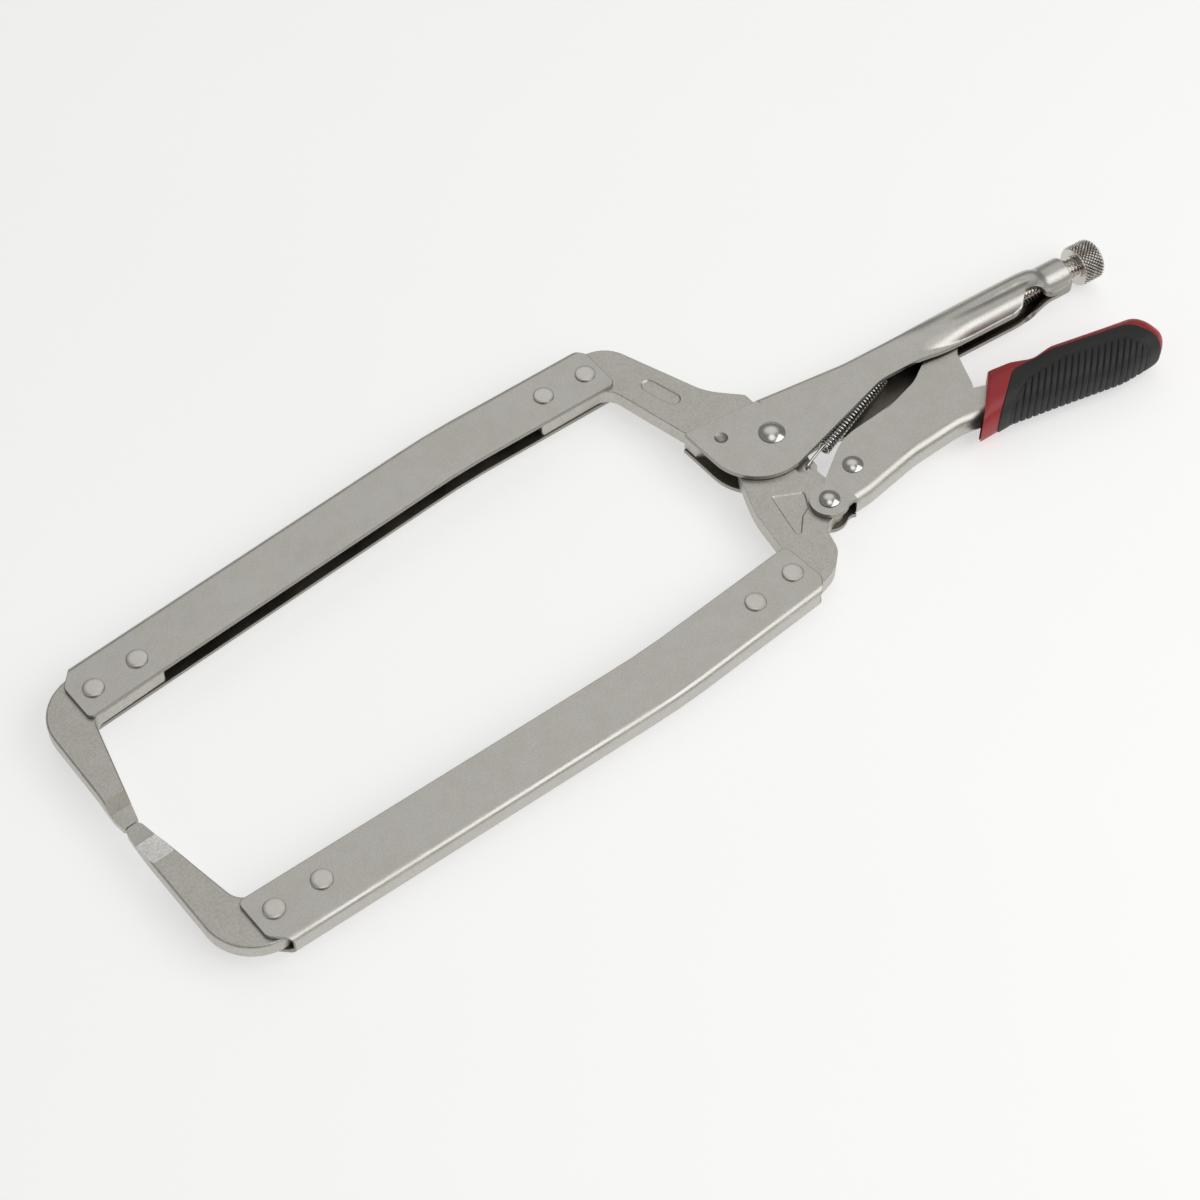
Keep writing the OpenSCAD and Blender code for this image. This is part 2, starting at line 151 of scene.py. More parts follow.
def full_turn(count):
    return np.linspace(0, 2 * math.pi, count, endpoint=False)


def ring(centre, r, count):
    a = full_turn(count)
    return np.column_stack([centre[0] + r * np.cos(a), centre[1] + r * np.sin(a)])


def smoothstep(x, low, high):
    t = np.clip((np.asarray(x, float) - low) / (high - low), 0, 1)
    return t * t * (3 - 2 * t)


BEND = (-100.8, 84.7)
FRONT_SLOPE, REAR_SLOPE, BEND_LENGTH = 0.04, -0.045, 13.6


def arm_edge(x):
    """Outer edge of the upper arm: two straight stretches and a gentle bend between them."""
    d = np.asarray(x, float) - BEND[0]
    curve = FRONT_SLOPE * d + (REAR_SLOPE - FRONT_SLOPE) * (d + BEND_LENGTH) ** 2 / (4 * BEND_LENGTH)
    rise = np.where(d < -BEND_LENGTH, FRONT_SLOPE * d, np.where(d > BEND_LENGTH, REAR_SLOPE * d, curve))
    return BEND[1] + rise


def arm_y(x, depth):
    """Height of a place at a depth below the outer edge of the upper arm."""
    return float(arm_edge(x)) - depth


def to_lower(points):
    """The same place on the lower side."""
    p = np.array(points, float)
    p[..., 0] -= SIDE_SHIFT
    p[..., 1] = 2 * MIRROR_LINE - p[..., 1]
    return p


# ---- meshes
def link_object(name, data):
    obj = bpy.data.objects.new(name, data)
    bpy.context.scene.collection.objects.link(obj)
    return obj


def new_object(name, verts, faces, smooth=40.0, flip_check=True):
    mesh = bpy.data.meshes.new(name)
    mesh.from_pydata([tuple(v) for v in np.asarray(verts) * MM + ORIGIN], [], [tuple(f) for f in faces])
    if flip_check:
        bm = bmesh.new()
        bm.from_mesh(mesh)
        bmesh.ops.recalc_face_normals(bm, faces=bm.faces)
        bm.to_mesh(mesh)
        bm.free()
    mesh.update()
    obj = link_object(name, mesh)
    shade(obj, smooth)
    return obj


def shade(obj, angle):
    mesh = obj.data
    mesh.polygons.foreach_set("use_smooth", [True] * len(mesh.polygons))
    mesh.set_sharp_from_angle(angle=math.radians(angle))


def modifier(obj, kind, **values):
    m = obj.modifiers.new(kind.lower(), kind)
    for key, value in values.items():
        setattr(m, key, value)
    return m


def bake(obj):
    """Replaces the mesh by what its modifiers make of it."""
    bpy.context.view_layer.update()
    graph = bpy.context.evaluated_depsgraph_get()
    made = bpy.data.meshes.new_from_object(obj.evaluated_get(graph))
    obj.modifiers.clear()
    old = obj.data
    obj.data = made
    bpy.data.meshes.remove(old)
    return obj


def tidy(obj):
    """Merges points that coincide and dissolves edges inside flat faces."""
    bm = bmesh.new()
    bm.from_mesh(obj.data)
    bmesh.ops.remove_doubles(bm, verts=bm.verts, dist=1e-7)
    bmesh.ops.dissolve_limit(bm, angle_limit=math.radians(0.3), verts=bm.verts, edges=bm.edges)
    bm.to_mesh(obj.data)
    bm.free()
    return obj


def bevelled(obj, width, segments, angle=35.0, material=-1):
    modifier(obj, "BEVEL", width=width * MM, segments=segments, limit_method="ANGLE",
             angle_limit=math.radians(angle), use_clamp_overlap=True, material=material)
    return bake(obj)


def finished(obj, angle=40.0):
    shade(obj, angle)
    modifier(obj, "WEIGHTED_NORMAL", keep_sharp=True, weight=90)
    return obj


def between(low_ring, high_ring):
    """Points and faces of a closed solid between two rings of points."""
    n = len(low_ring)
    faces = [list(range(n))[::-1], list(range(n, 2 * n))]
    faces += [[i, (i + 1) % n, n + (i + 1) % n, n + i] for i in range(n)]
    return low_ring + high_ring, faces


def prism(name, outline, low, high):
    return new_object(name, *between([(x, y, low) for x, y in outline], [(x, y, high) for x, y in outline]))


def slab(name, outline, half):
    return prism(name, outline, -half, half)


def combine(obj, other, how="DIFFERENCE"):
    """Boolean of two solids; the second one is used up."""
    modifier(obj, "BOOLEAN", operation=how, solver="EXACT", object=other)
    bake(obj)
    bpy.data.objects.remove(other)
    return obj


def dished(low, high, shape):
    """A cutter for a shallow recess with sloping walls, from its floor to a height above the face."""
    outline, depth = np.array(shape), high - low
    middle = outline.mean(axis=0)
    after, before = np.roll(outline, -1, axis=0), np.roll(outline, 1, axis=0)
    way = after - before
    way /= np.linalg.norm(way, axis=1)[:, None]
    normal = np.column_stack([way[:, 1], -way[:, 0]])
    if ((outline - middle) * normal).sum() < 0:
        normal = -normal
    wide = outline + normal * depth * 1.1
    return new_object("cutter", *between([(x, y, low) for x, y in outline], [(x, y, high) for x, y in wide]))


def closed_tube(name, grid, smooth):
    """A closed solid over rings of points, grid[ring, point], with a face over each end."""
    rows, cols = grid.shape[:2]
    index = np.arange(rows * cols).reshape(rows, cols)
    faces = []
    for i in range(rows - 1):
        for j in range(cols):
            m = (j + 1) % cols
            faces.append((index[i, j], index[i + 1, j], index[i + 1, m], index[i, m]))
    faces += [tuple(index[0][::-1]), tuple(index[-1])]
    return new_object(name, grid.reshape(-1, 3), faces, smooth)


def lathe(name, profile, place, count):
    """Turns a profile of (radius, height) about an upright axis; radius 0 closes an end."""
    side = unit(np.array([-1.0, 0.3, 0.0]))
    other = np.cross(UP, side)
    a = full_turn(count)
    verts, faces, rows = [], [], []
    for r, h in profile:
        if r < 1e-6:
            rows.append([len(verts)] * count)
            verts.append(place + UP * h)
        else:
            rows.append(list(range(len(verts), len(verts) + count)))
            verts += [place + UP * h + r * (math.cos(t) * side + math.sin(t) * other) for t in a]
    for low, high in zip(rows, rows[1:]):
        for j in range(count):
            m = (j + 1) % count
            face = list(dict.fromkeys([low[j], low[m], high[m], high[j]]))
            if len(face) > 2:
                faces.append(face)
    return new_object(name, verts, faces)


def round_wire(name, path, r, count):
    """A round wire along a path."""
    path = np.asarray(path, float)
    tangent = np.gradient(path, axis=0)
    tangent /= np.linalg.norm(tangent, axis=1)[:, None]
    normal = unit(np.cross(tangent[0], [0.13, 0.37, 0.91]))
    rings = []
    a = full_turn(count)
    for p, t in zip(path, tangent):
        normal = unit(normal - t * (normal @ t))
        rings.append(p + r * (np.cos(a)[:, None] * normal + np.sin(a)[:, None] * np.cross(t, normal)))
    return closed_tube(name, np.array(rings), 60)


def join(obj, other):
    """One mesh from two objects, for shells that belong to one piece."""
    bm = bmesh.new()
    bm.from_mesh(obj.data)
    bm.from_mesh(other.data)
    bpy.data.objects.remove(other)
    bm.to_mesh(obj.data)
    bm.free()
    return obj


# ---- materials
def nodes_of(name):
    mat = bpy.data.materials.new(name)
    mat.use_nodes = True
    tree = mat.node_tree
    shader = next(n for n in tree.nodes if n.type == "BSDF_PRINCIPLED")
    return mat, tree, shader


def noise(tree, scale, detail=3.0, roughness=0.55):
    place = tree.nodes.new("ShaderNodeTexCoord")
    tex = tree.nodes.new("ShaderNodeTexNoise")
    tex.inputs["Scale"].default_value = scale
    tex.inputs["Detail"].default_value = detail
    tex.inputs["Roughness"].default_value = roughness
    tree.links.new(place.outputs["Object"], tex.inputs["Vector"])
    return tex.outputs["Fac"]


def remap(tree, value, low, high, to_low, to_high):
    node = tree.nodes.new("ShaderNodeMapRange")
    for key, v in (("From Min", low), ("From Max", high), ("To Min", to_low), ("To Max", to_high)):
        node.inputs[key].default_value = v
    tree.links.new(value, node.inputs["Value"])
    return node.outputs["Result"]


def ramp(tree, value, stops):
    node = tree.nodes.new("ShaderNodeValToRGB")
    band = node.color_ramp
    while len(band.elements) < len(stops):
        band.elements.new(0.5)
    for element, (place, color) in zip(band.elements, stops):
        element.position = place
        element.color = (*color, 1)
    tree.links.new(value, node.inputs["Fac"])
    return node.outputs["Color"]


def multiply(tree, a, b, factor):
    node = tree.nodes.new("ShaderNodeMix")
    node.data_type = "RGBA"
    node.blend_type = "MULTIPLY"
    node.inputs["Factor"].default_value = factor
    tree.links.new(a, node.inputs[6])
    tree.links.new(b, node.inputs[7])
    return node.outputs[2]


def bump(tree, shader, value, distance, strength):
    node = tree.nodes.new("ShaderNodeBump")
    node.inputs["Distance"].default_value = distance
    node.inputs["Strength"].default_value = strength
    tree.links.new(value, node.inputs["Height"])
    tree.links.new(node.outputs["Normal"], shader.inputs["Normal"])


def shades(color, spread):
    """A darker and a lighter shade of a colour."""
    return tuple(c * (1 - spread) for c in color), tuple(min(1.0, c * (1 + spread)) for c in color)


def metal(name, color, rough, grain, grain_depth, spread=0.05, rough_spread=0.06, speckle=0.85):
    """Plated steel: broad shades and faint stains under a fine grain, which also gives the bumps."""
    mat, tree, shader = nodes_of(name)
    shader.inputs["Metallic"].default_value = 1.0
    low, high = shades(color, spread)
    broad = noise(tree, 38.0, 4.0, 0.6)
    fine = noise(tree, grain, 2.0, 0.6)
    base = ramp(tree, broad, [(0.3, low), (0.7, high)])
    dots = ramp(tree, fine, [(0.34, (speckle, speckle, speckle * 0.985)), (0.6, (1, 1, 1))])
    stains = ramp(tree, noise(tree, 170.0, 3.0, 0.6), [(0.36, (0.955, 0.945, 0.92)), (0.6, (1, 1, 1))])
    toned = multiply(tree, base, stains, 0.8)
    tree.links.new(multiply(tree, toned, dots, 0.8), shader.inputs["Base Color"])
    roughness = remap(tree, broad, 0.3, 0.7, rough - rough_spread, rough + rough_spread)
    tree.links.new(roughness, shader.inputs["Roughness"])
    bump(tree, shader, fine, grain_depth, 0.6)
    return mat


def plastic(name, color, rough, spread):
    """Moulded plastic or rubber: faint shades under a fine leathery grain."""
    mat, tree, shader = nodes_of(name)
    low, high = shades(color, spread)
    broad = noise(tree, 60.0, 4.0, 0.6)
    fine = noise(tree, 900.0, 3.0, 0.6)
    base = ramp(tree, broad, [(0.3, low), (0.7, high)])
    dots = ramp(tree, fine, [(0.35, (0.9, 0.9, 0.9)), (0.62, (1, 1, 1))])
    tree.links.new(multiply(tree, base, dots, 0.8), shader.inputs["Base Color"])
    tree.links.new(remap(tree, fine, 0.3, 0.7, rough - 0.05, rough + 0.05), shader.inputs["Roughness"])
    bump(tree, shader, fine, 0.00004, 0.7)
    return mat


SHEET_METAL = metal("satin_sheet", (0.585, 0.57, 0.535), 0.38, 1500.0, 0.00005)
# A darker metal for the sheets' rims and bevels: painted shade that draws a dark line along each edge
SHADED_EDGE_METAL = metal("painted_shade_edge", (0.37, 0.355, 0.325), 0.36, 1500.0, 0.00005)
FORGED_METAL = metal("satin_forging", (0.575, 0.56, 0.52), 0.40, 1150.0, 0.00007, 0.07, 0.06, 0.82)
# A darker metal for the upper nose's ramp: painted shade where that ramp faces away from the light
SHADED_RAMP_METAL = metal("painted_shade_ramp", (0.45, 0.435, 0.39), 0.42, 1150.0, 0.00007, 0.07, 0.06, 0.82)
# A lighter metal for the lower nose's ramp: a painted highlight where that ramp faces the light
LIT_RAMP_METAL = metal("painted_highlight_ramp", (0.97, 0.96, 0.93), 0.4, 1000.0, 0.00014, 0.03, 0.06, 0.72)
# A dark metal for the inner faces of the folded sheets: painted shade inside the channels
SHADED_INSIDE_METAL = metal("painted_shade_inside", (0.20, 0.18, 0.155), 0.5, 700.0, 0.00004, 0.25)
BRIGHT_METAL = metal("bright_plate", (0.66, 0.645, 0.615), 0.17, 2200.0, 0.00001, 0.04, 0.03, 0.97)
KNURL_METAL = metal("knurled_plate", (0.68, 0.665, 0.63), 0.2, 2200.0, 0.00001, 0.05, 0.04, 0.97)
HEAD_METAL = metal("satin_head", (0.64, 0.625, 0.59), 0.3, 1500.0, 0.00002, 0.04, 0.04, 0.94)
# A dark metal for the knurl's valleys: painted shade in the grooves
SHADED_VALLEY_METAL = metal("painted_shade_knurl_valley", (0.2, 0.19, 0.175), 0.35, 1500.0, 0.00002)
DARK_WIRE = metal("oiled_wire", (0.55, 0.54, 0.52), 0.17, 1800.0, 0.00001, 0.15, 0.04, 0.97)
RED_PLASTIC = plastic("red_grip", (0.34, 0.014, 0.018), 0.42, 0.06)
BLACK_RUBBER = plastic("black_grip", (0.0125, 0.012, 0.0118), 0.6, 0.18)


def piece(obj, body, slot, replaced, *materials):
    """Gives a finished mesh its materials and its CAD body, and hides the CAD parts that it replaces; the
    slot argument is not used.
    """
    if materials:
        obj.data.materials.clear()
        for m in materials:
            obj.data.materials.append(m)
    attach(obj, body)
    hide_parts(*replaced)
    return obj


# ---- folded sheet
def solid_sheet(name, grid, keep, thick, back):
    """A folded sheet from its middle surface, where keep says so; its web faces along y, as back says."""
    rows, cols = grid.shape[:2]
    index = np.arange(rows * cols).reshape(rows, cols)
    faces = [(index[i, j], index[i + 1, j], index[i + 1, j + 1], index[i, j + 1])
             for i in range(rows - 1) for j in range(cols - 1) if keep[i, j]]
    used = np.unique(np.array(faces))
    renumber = -np.ones(rows * cols, int)
    renumber[used] = np.arange(len(used))
    flat = grid.reshape(-1, 3)
    web_face = next(f for f in faces if f[0] % cols == cols // 2)
    a, b, c = flat[web_face[0]], flat[web_face[1]], flat[web_face[3]]
    if np.cross(b - a, c - a)[1] * back < 0:
        faces = [f[::-1] for f in faces]
    obj = new_object(name, flat[used], [tuple(renumber[k] for k in f) for f in faces], flip_check=False)
    # the faces that the solidify adds on the inner side take the second material: painted shade inside the
    # channel
    for material in (SHEET_METAL, SHADED_INSIDE_METAL, SHADED_EDGE_METAL):
        obj.data.materials.append(material)
    # the solidify's rims take the third material: painted shade along the sheet's edges
    modifier(obj, "SOLIDIFY", thickness=thick * MM, offset=0.0, use_even_offset=True,
             use_quality_normals=True, material_offset=1, material_offset_rim=2)
    return bake(obj)


def half_rows(n_wall, n_bend, n_web, fine_edge=False):
    """Rows of half a channel, from the free edge to the middle of the web: (kind, share)."""
    share = np.linspace(0, 1, n_wall)
    if fine_edge:
        share = 1 - np.cos(share * math.pi / 2)
    rows = [("wall", s) for s in share]
    rows += [("bend", s) for s in np.linspace(0, 1, n_bend + 1)[1:]]
    rows += [("web", s) for s in np.linspace(0, 1, n_web + 1)[1:]]
    return rows


def row_place(kind, share, depth, half, bend):
    """Depth below the web and half width of one row, on the sheet's middle surface."""
    if kind == "wall":
        return depth + (bend - depth) * share, half
    if kind == "bend":
        a = share * math.pi / 2
        return bend * (1 - math.sin(a)), half - bend + bend * math.cos(a)
    return 0.0, (half - bend) * (1 - share)


def corner_inset(depth, full, r):
    """How far a corner of radius r, at the full depth, takes the end of a wall back."""
    near = np.clip(depth - (full - r), 0, r)
    return r - np.sqrt(np.maximum(r ** 2 - near ** 2, 0))


def arm(name, lower):
    """A folded arm: rounded, notched ends and an open side towards the throat."""
    t = ARM_SHEET
    front, rear = NOSE_X + 12.8, -29.2
    half, bend = ARM_HALF - t / 2, 2.9 - t / 2
    places = np.array([row_place(*row, ARM_W - t / 2, half, bend) for row in half_rows(22, 7, 3, True)])
    depth = np.concatenate([places[:, 0], places[::-1, 0][1:]]) + t / 2
    width = np.concatenate([places[:, 1], -places[::-1, 1][1:]])
    # stations along the arm, closer together towards its ends
    ease = np.concatenate([[0, 0.25, 0.6, 1.2, 2.4, 4.5, 8, 14, 24], np.linspace(36, 100, 6)])
    length = rear - front
    u = np.concatenate([ease / length, np.linspace(0.45, 1 - 100 / length, 26), 1 - ease[::-1] / length])
    u = np.unique(np.round(u, 5))
    # the slanted front end and the bowed rear end, by depth below the back, and their lower corners
    start = front + np.interp(depth, [0.8, 1.6, 3.6, 6.4, 7.4], [6.3, 5.6, 3.4, 0.35, 0.0])
    start += corner_inset(depth, ARM_W, 2.5)
    stop = rear + np.interp(depth, [0.8, 2.0, 4.0, 6.0, 12.0, ARM_W], [-4, -1.6, 0.3, 0.9, 0.6, 0])
    stop -= corner_inset(depth, ARM_W, 3.0)
    x = start + (stop - start) * u[:, None]
    grid = np.stack([x, arm_edge(x) - depth, np.broadcast_to(width, x.shape)], axis=2)
    if lower:
        grid = to_lower(grid)
    keep = np.ones((len(u) - 1, len(depth) - 1), bool)
    obj = solid_sheet(name, grid, keep, t, -1 if lower else 1)
    # the bevels take the third material: painted shade along the edges
    return finished(bevelled(tidy(obj), 0.35, 2, 50, 2))


def channel_section(edge, back, half, bend, rows):
    """Half of a channel's section, from its free edge to the middle of its web: (y, z)."""
    way = 1.0 if back > edge else -1.0
    out = []
    for kind, share in rows:
        d, h = row_place(kind, share, abs(back - edge), half, bend)
        out.append((back - way * d, h))
    return np.array(out)


def whole_sections(x, near, far, web_from, n_wall):
    """A handle's grid from its half sections along x, and its faces: two bare walls ahead of web_from."""
    near, far = np.array(near), np.array(far) * [1, -1]
    cols = near.shape[1] * 2 - 1
    grid = np.zeros((len(x), cols, 3))
    grid[:, :, 0] = x[:, None]
    grid[:, :, 1:] = np.concatenate([near, far[:, ::-1][:, 1:]], axis=1)
    keep = np.ones((len(x) - 1, cols - 1), bool)
    keep[x[:-1] < web_from, n_wall - 1:cols - n_wall] = False
    return grid, keep


# The pressed blister of the barrel and the crease above it: shares of the radius, by degrees from the slot
BLISTER_ANGLE = [0, 32, 46, 58, 68, 78, 86, 94]
BLISTER_RISE = [0.27, 0.30, 0.29, 0.22, 0.14, 0.06, 0.02, 0]
CREASE_ANGLE, CREASE_WIDTH, CREASE_DEPTH = 86.0, 15.0, 0.18


def barrel_section(axis_y, r, slot, low, blister, crease):
    """Half of the barrel, from its lip to its top; slot is the lip's distance from the middle plane."""
    angles = np.linspace(0, math.pi, 240)
    degrees = np.degrees(angles)
    groove = CREASE_DEPTH * np.exp(-((degrees - CREASE_ANGLE) / CREASE_WIDTH) ** 2)
    reach = r * (1 + blister * np.interp(degrees, BLISTER_ANGLE, BLISTER_RISE) - crease * groove)
    y, w = -reach * np.cos(angles), reach * np.sin(angles)
    first = int(np.argmax((w >= slot) & (angles > 0.02)))
    arc = np.column_stack([axis_y + y[first:], w[first:]])
    if low > -y[first] + 0.3:
        lip = [(axis_y - low + (low + y[first] - 0.3) * s, slot) for s in np.linspace(0, 1, 8)]
        arc = np.vstack([lip, arc[4:]])
    else:
        arc = arc[arc[:, 0] > axis_y - low]
    pts = along(arc, 90)
    for _ in range(3):
        pts[1:-1] = (pts[:-2] + 2 * pts[1:-1] + pts[2:]) / 4
    return pts


def running_mean(x, y, width):
    """Values smoothed over a width along x, with the two ends kept."""
    out = [np.mean(np.interp(np.linspace(a - width / 2, a + width / 2, 9), x, y)) for a in x]
    out[0], out[-1] = y[0], y[-1]
    return np.array(out)


def screw_y(x):
    """Height of the screw's axis at a place along x."""
    return MOUTH[1] + (x - MOUTH[0]) * SCREW[1] / SCREW[0]


def fixed_handle():
    """The fixed handle: walls only round the jaw's tongue, then a channel, a slotted barrel and the neck."""
    t = SHEET
    half, bend = HANDLE_HALF - t / 2, 3.1 - t / 2
    start = [(-26, 4, 0), (-26, -17.2, 20.5), (-2, -17.6, 9)]
    stop = [(84, -11.6, 8), (116, -14.3, 0)]
    near = chain(start + [(50.5, -6.6, 22), (71, -8.4, 22)] + stop)
    far = chain(start + [(8, -11, 3), (17, -11.2, 3), (26, -14.4, 5), (62, -12.6, 12)] + stop)
    web_from, bare_drop = 6.45, 1.6
    x = stations([near[:, 0], far[:, 0], np.arange(-2, 60, 3.0), np.arange(60, 92, 1.25),
                  np.arange(92, 114, 2.5), np.arange(114, MOUTH[0], 0.75),
                  [web_from - 0.1, web_from, MOUTH[0]]], 0.06)
    top = np.interp(x, [-26, 7, 45, 86, 160], [22.2, 17.25, 10.0, 5.9, -1.5])
    # the barrel's radius, its lips and the oval window before the neck, along x
    knots = [60, 84, 116, 119.5, 122.5, 125.5, 129.5, 132.5, 134.6, 136.8, 140, 146, 147.4, MOUTH[0]]
    radius = [7.55, 7.55, 7.55, 7.55, 7.5, 7.5, 7.4, 7.25, 6.95, 6.1, 6.0, 6.0, 6.0, 5.95]
    near_slot = [3.6, 3.6, 3.7, 4.6, 5.8, 6.2, 6.0, 4.9, 2.6, 1.02, 0.98, 0.98, 0.98, 0.98]
    near_low = [10.2, 10.2, 10.4, 9.4, 6.6, 4.6, 4.0, 4.8, 6.4, 7.8, 8.4, 8.4, 8.0, 6.9]
    far_slot = [3.6, 3.6, 3.6, 3.6, 3.5, 3.2, 2.7, 2.2, 1.6, 1.02, 0.98, 0.98, 0.98, 0.98]
    far_low = [10.2, 10.2, 10.4, 10.2, 9.8, 9.4, 8.9, 8.5, 8.3, 8.3, 8.4, 8.4, 8.0, 6.9]
    radius, near_slot, near_low, far_slot, far_low = (
        running_mean(x, np.interp(x, knots, values), 2.0)
        for values in (radius, near_slot, near_low, far_slot, far_low))
    lips = ((near, near_slot, near_low), (far, far_slot, far_low))
    round_share = smoothstep(x, 62, 96)
    blister = smoothstep(x, 67, 95) * (1 - smoothstep(x, 124, 135))
    crease = smoothstep(x, 84, 122) * (1 - smoothstep(x, 124, 135))
    n_wall = 26
    rows = half_rows(n_wall, 8, 5)
    halves = ([], [])
    for i, xi in enumerate(x):
        for (edge, lip, depth), sections in zip(lips, halves):
            bottom = float(np.interp(xi, edge[:, 0], edge[:, 1]))
            section = channel_section(bottom, top[i] - t / 2, half, bend, rows)
            if xi < web_from:
                section[:n_wall, 0] = bottom + (top[i] - bare_drop - bottom) * np.linspace(0, 1, n_wall)
            if round_share[i] > 0:
                barrel = barrel_section(screw_y(xi), radius[i], lip[i], depth[i], blister[i], crease[i])
                section = section * (1 - round_share[i]) + resample_like(section, barrel) * round_share[i]
            sections.append(section)
    grid, keep = whole_sections(x, *halves, web_from, n_wall)
    # the neck's mouth is square to the screw
    lean = (screw_y(grid[:, :, 0]) - grid[:, :, 1]) * SCREW[1] / SCREW[0]
    grid[:, :, 0] += lean * smoothstep(grid[:, :, 0], 110, 130)
    obj = solid_sheet("fixed_handle_sheet", grid, keep, t, 1)
    # the bevels take the third material: painted shade along the edges
    bevelled(tidy(obj), 0.4, 2, 52, 2)
    # a punched dimple in each wall, with worn edges; the faces inside it take the darker edge metal as
    # painted shade
    punch_r, punch_depth = 2.9, 1.8
    cone = [(0, HANDLE_HALF - punch_depth), (punch_r - 0.2, HANDLE_HALF + 0.02), (punch_r, HANDLE_HALF + 0.5),
            (0, HANDLE_HALF + 0.5)]
    for side in (1, -1):
        combine(obj, lathe("cutter", [(r, z * side) for r, z in cone], DIMPLE, 48))
    for face in obj.data.polygons:
        x, y, z = in_mm(face.center) - DIMPLE
        if math.hypot(x, y) < punch_r and HANDLE_HALF - punch_depth - 0.05 < abs(z) < HANDLE_HALF - 0.02:
            face.material_index = 2
    # the tab that holds the spring
    tab_line = rounded([(61.2, -3.3, 1.2), (64.8, -3.3, 1.2), (65, 7.2, 0), (61, 7.6, 0)])
    tab = bevelled(slab("tab", tab_line, 1.2), 0.2, 2)
    tab.data.materials.append(SHEET_METAL)
    return finished(join(obj, tab), 31)


def moving_handle():
    """The moving handle: two ears on the jaw's lug, then a channel that runs into the grip."""
    t = SHEET
    half, bend, ear_r = HANDLE_HALF - t / 2, 4.2 - t / 2, 7.7

    def ear(last_degree, count):
        a = np.radians(np.linspace(180, last_degree, count))
        return HANDLE_PIN[:2] + ear_r * np.column_stack([np.cos(a), np.sin(a)])

    upper = np.vstack([ear(62, 18), chain([
        (1.0, -29.4, 0), (18.5, -18.9, 28), (43, -18.6, 18), (82, -35.4, 12), (118, -43.8, 0)])])
    lower = np.vstack([ear(306, 20), chain([
        (1.6, -44.0, 0.8), (3.9, -45.0, 0.8), (11, -45, 8), (36, -42.3, 60), (60.5, -42.6, 30),
        (84, -48.4, 20), (118, -55.9, 0)])])
    web_from, joggle = 3.4, 0.12
    x = stations([upper[:, 0], lower[:, 0], np.arange(6, 118, 3.0), np.arange(0.7, 2.3, 0.2),
                  [web_from - 0.1, web_from]], 0.05)
    edge = np.interp(x, upper[:, 0], upper[:, 1])
    back = np.interp(x, lower[:, 0], lower[:, 1])
    n_wall = 16
    rows = half_rows(n_wall, 10, 3)
    sections = []
    for i, xi in enumerate(x):
        section = channel_section(edge[i], back[i] + t / 2, half, bend, rows)
        if xi < web_from:
            section[:n_wall, 0] = edge[i] + (back[i] - edge[i]) * np.linspace(0, 1, n_wall)
        section[:n_wall, 1] -= joggle * (1 - float(smoothstep(xi, 1.0, 1.9)))
        sections.append(section)
    grid, keep = whole_sections(x, sections, sections, web_from, n_wall)
    obj = solid_sheet("moving_handle_sheet", grid, keep, t, -1)
    # the bevels take the third material: painted shade along the edges
    return finished(bevelled(tidy(obj), 0.4, 2, 52, 2))


# ---- forgings
def forged(name, outline, half, edge, extra=(), cuts=(), fine=0.16):
    """A forging: a slab and others, joined and rounded, then cut; the cuts get fine edges of their own."""
    obj = slab(name, outline, half)
    for other in extra:
        combine(obj, other, "UNION")
    bevelled(tidy(obj), edge, 4, 50)
    for cutter in cuts:
        combine(obj, cutter)
    if cuts:
        bevelled(obj, fine, 2, 32)
    return finished(obj, 38)


def swage(tip, pad, ramp_end, lower):
    """Cutters that flatten a nose towards its tip."""
    line = [(tip - 6, PAD_HALF), (pad, PAD_HALF), (ramp_end, FORGED), (ramp_end + 2, FORGED + 0.35),
            (ramp_end + 2, 9), (tip - 6, 9)]
    out = []
    for side in (1, -1):
        verts, faces = between(*([(NOSE_X + across, y, z * side) for y, z in line] for across in (-25, 25)))
        out.append(new_object("cutter", to_lower(verts) if lower else verts, faces))
    return out


def nose(name, lower):
    """A forged finger, flattened towards its tip."""
    if lower:
        tip, shift, tip_r, pad, ramp_l = 2 * MIRROR_LINE - CONTACT + 0.15, SIDE_SHIFT, 2.6, 8.0, 10.4
    else:
        tip, shift, tip_r, pad, ramp_l = CONTACT + 0.15, 0.0, 0.9, 7.3, 5.2
    leg_end = NOSE_X + 45.5
    inset = ARM_SHEET + 1.5
    outline = rounded([
        (leg_end, arm_y(leg_end, inset), 1),
        (NOSE_X - 1.0, arm_y(NOSE_X, inset + 0.2), 20),
        (NOSE_X - 2.3 + shift * 0.6, tip + 17, 30),
        (NOSE_X - 3.2 + shift, tip + 6, 6),
        (NOSE_X - 2.6 + shift, tip, tip_r),
        (NOSE_X + 3.4 + shift, tip, tip_r),
        (NOSE_X + 11.6, tip + 33, 60),
        (NOSE_X + 14.4, arm_y(NOSE_X, ARM_W - 0.7), 8.0 if lower else 4.5),
        (leg_end, arm_y(leg_end, ARM_W - 0.5), 1.5)])
    if lower:
        outline = to_lower(outline)
    obj = forged(name, outline, FORGED, 0.95, cuts=swage(tip, tip + pad, tip + pad + ramp_l, lower), fine=0.2)
    # crisp edges along both ends of the ramp, and a ramp painted darker on the upper nose as painted shade
    # and lighter on the lower nose as a painted highlight
    mesh = obj.data
    mesh.materials.append(FORGED_METAL)
    mesh.materials.append(LIT_RAMP_METAL if lower else SHADED_RAMP_METAL)
    where = in_mm([v.co for v in mesh.vertices])
    height = 2 * MIRROR_LINE - where[:, 1] if lower else where[:, 1]
    ramp_start, ramp_end = tip + pad, tip + pad + ramp_l
    for line in (ramp_start, ramp_end):
        on_line = np.abs(height - line) < 0.02
        for edge in mesh.edges:
            edge.use_edge_sharp |= bool(on_line[list(edge.vertices)].all())
    for face in mesh.polygons:
        middle = height[list(face.vertices)].mean()
        face.material_index = int(ramp_start < middle < ramp_end and 0.9 < abs(face.normal.z) < 0.996)
    return obj


